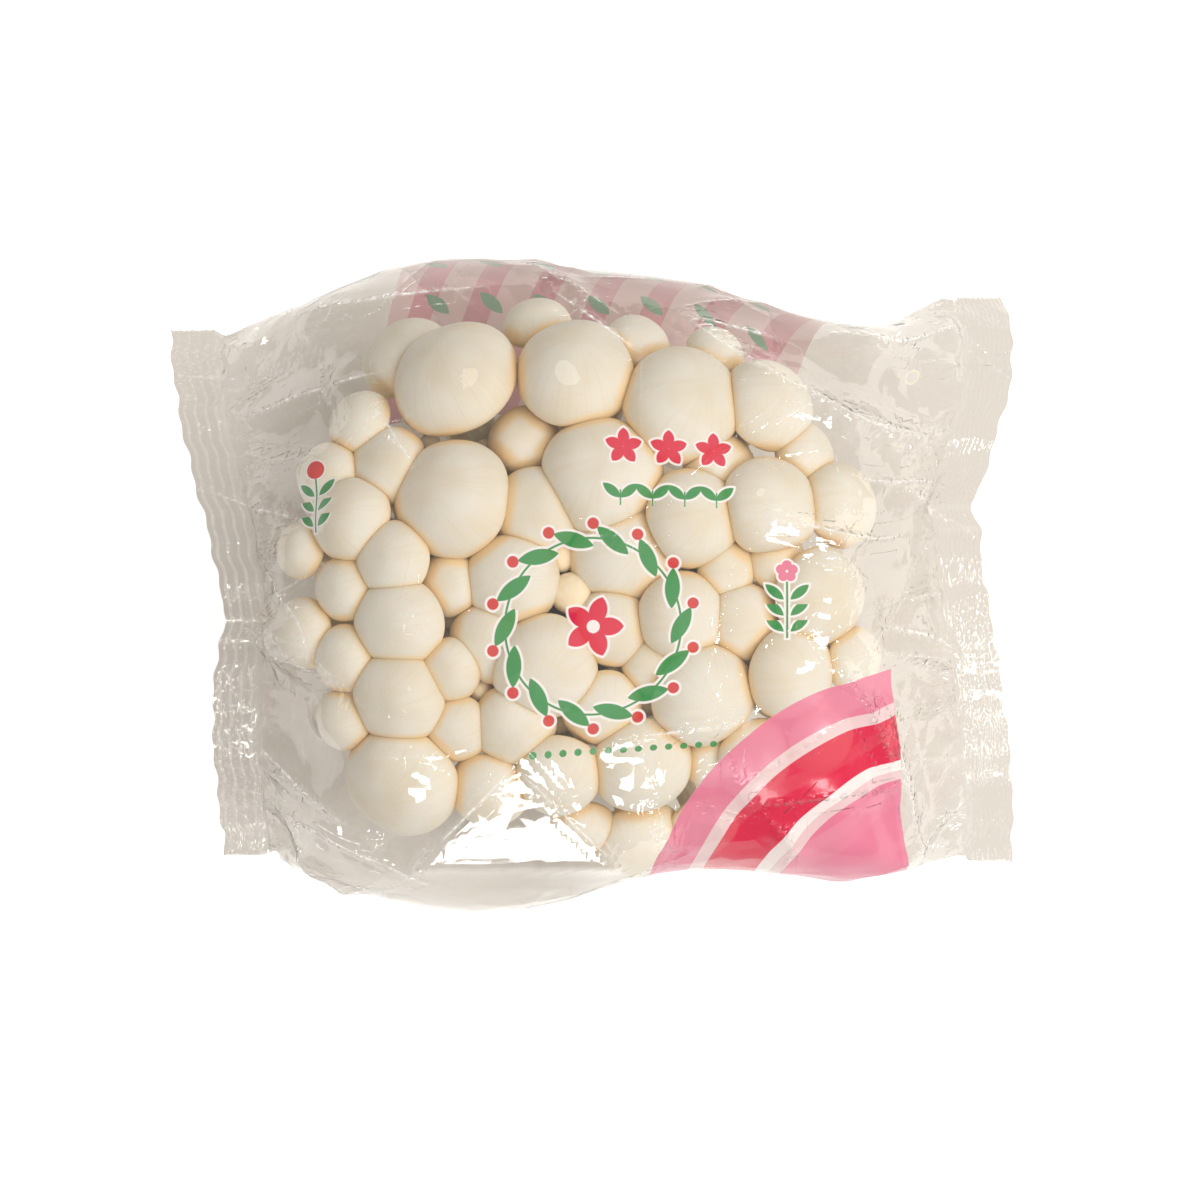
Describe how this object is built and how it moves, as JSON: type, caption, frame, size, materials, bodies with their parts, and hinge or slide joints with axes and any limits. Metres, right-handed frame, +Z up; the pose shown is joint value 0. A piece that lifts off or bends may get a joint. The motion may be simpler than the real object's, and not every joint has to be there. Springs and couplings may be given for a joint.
{
  "type": "film-wrapped beech mushroom bunch",
  "caption": "Bunch of white beech mushrooms growing from one mycelium base, lying caps up in a clear film flow wrap with sealed ends",
  "frame": {"origin": "centre of the underside of the bounding box, on the surface that the pack lies on", "axes": "+X along the pack from one end seal to the other, +Y across it, +Z up out of the caps"},
  "size_m": [0.1708, 0.1289, 0.054],
  "materials": {
    "mushroom_flesh": "matte",
    "mycelium": "matte",
    "clear_film": "gloss"
  },
  "bodies": {
    "root": {"mushroom_01": "mushroom_flesh", "mushroom_02": "mushroom_flesh", "mushroom_03": "mushroom_flesh", "mushroom_04": "mushroom_flesh", "mushroom_05": "mushroom_flesh", "mushroom_06": "mushroom_flesh", "mushroom_07": "mushroom_flesh", "mushroom_08": "mushroom_flesh", "mushroom_09": "mushroom_flesh", "mushroom_10": "mushroom_flesh", "mushroom_11": "mushroom_flesh", "mushroom_12": "mushroom_flesh", "mushroom_13": "mushroom_flesh", "mushroom_14": "mushroom_flesh", "mushroom_15": "mushroom_flesh", "mushroom_16": "mushroom_flesh", "mushroom_17": "mushroom_flesh", "mushroom_18": "mushroom_flesh", "mushroom_19": "mushroom_flesh", "mushroom_20": "mushroom_flesh", "mushroom_21": "mushroom_flesh", "mushroom_22": "mushroom_flesh", "mushroom_23": "mushroom_flesh", "mushroom_24": "mushroom_flesh", "mushroom_25": "mushroom_flesh", "mushroom_26": "mushroom_flesh", "mushroom_27": "mushroom_flesh", "mushroom_28": "mushroom_flesh", "mushroom_29": "mushroom_flesh", "mushroom_30": "mushroom_flesh", "mushroom_31": "mushroom_flesh", "mushroom_32": "mushroom_flesh", "mushroom_33": "mushroom_flesh", "mushroom_34": "mushroom_flesh", "mushroom_35": "mushroom_flesh", "mushroom_36": "mushroom_flesh", "mushroom_37": "mushroom_flesh", "mushroom_38": "mushroom_flesh", "mushroom_39": "mushroom_flesh", "mushroom_40": "mushroom_flesh", "mushroom_41": "mushroom_flesh", "mushroom_42": "mushroom_flesh", "mushroom_43": "mushroom_flesh", "mushroom_44": "mushroom_flesh", "mushroom_45": "mushroom_flesh", "mushroom_46": "mushroom_flesh", "mushroom_47": "mushroom_flesh", "mushroom_48": "mushroom_flesh", "mushroom_49": "mushroom_flesh", "mushroom_50": "mushroom_flesh", "mushroom_51": "mushroom_flesh", "mushroom_52": "mushroom_flesh", "mushroom_53": "mushroom_flesh", "mushroom_54": "mushroom_flesh", "mushroom_55": "mushroom_flesh", "mushroom_56": "mushroom_flesh", "mushroom_57": "mushroom_flesh", "mushroom_58": "mushroom_flesh", "mycelium_base": "mycelium", "film_wrap": "clear_film"}
  },
  "joints": []
}
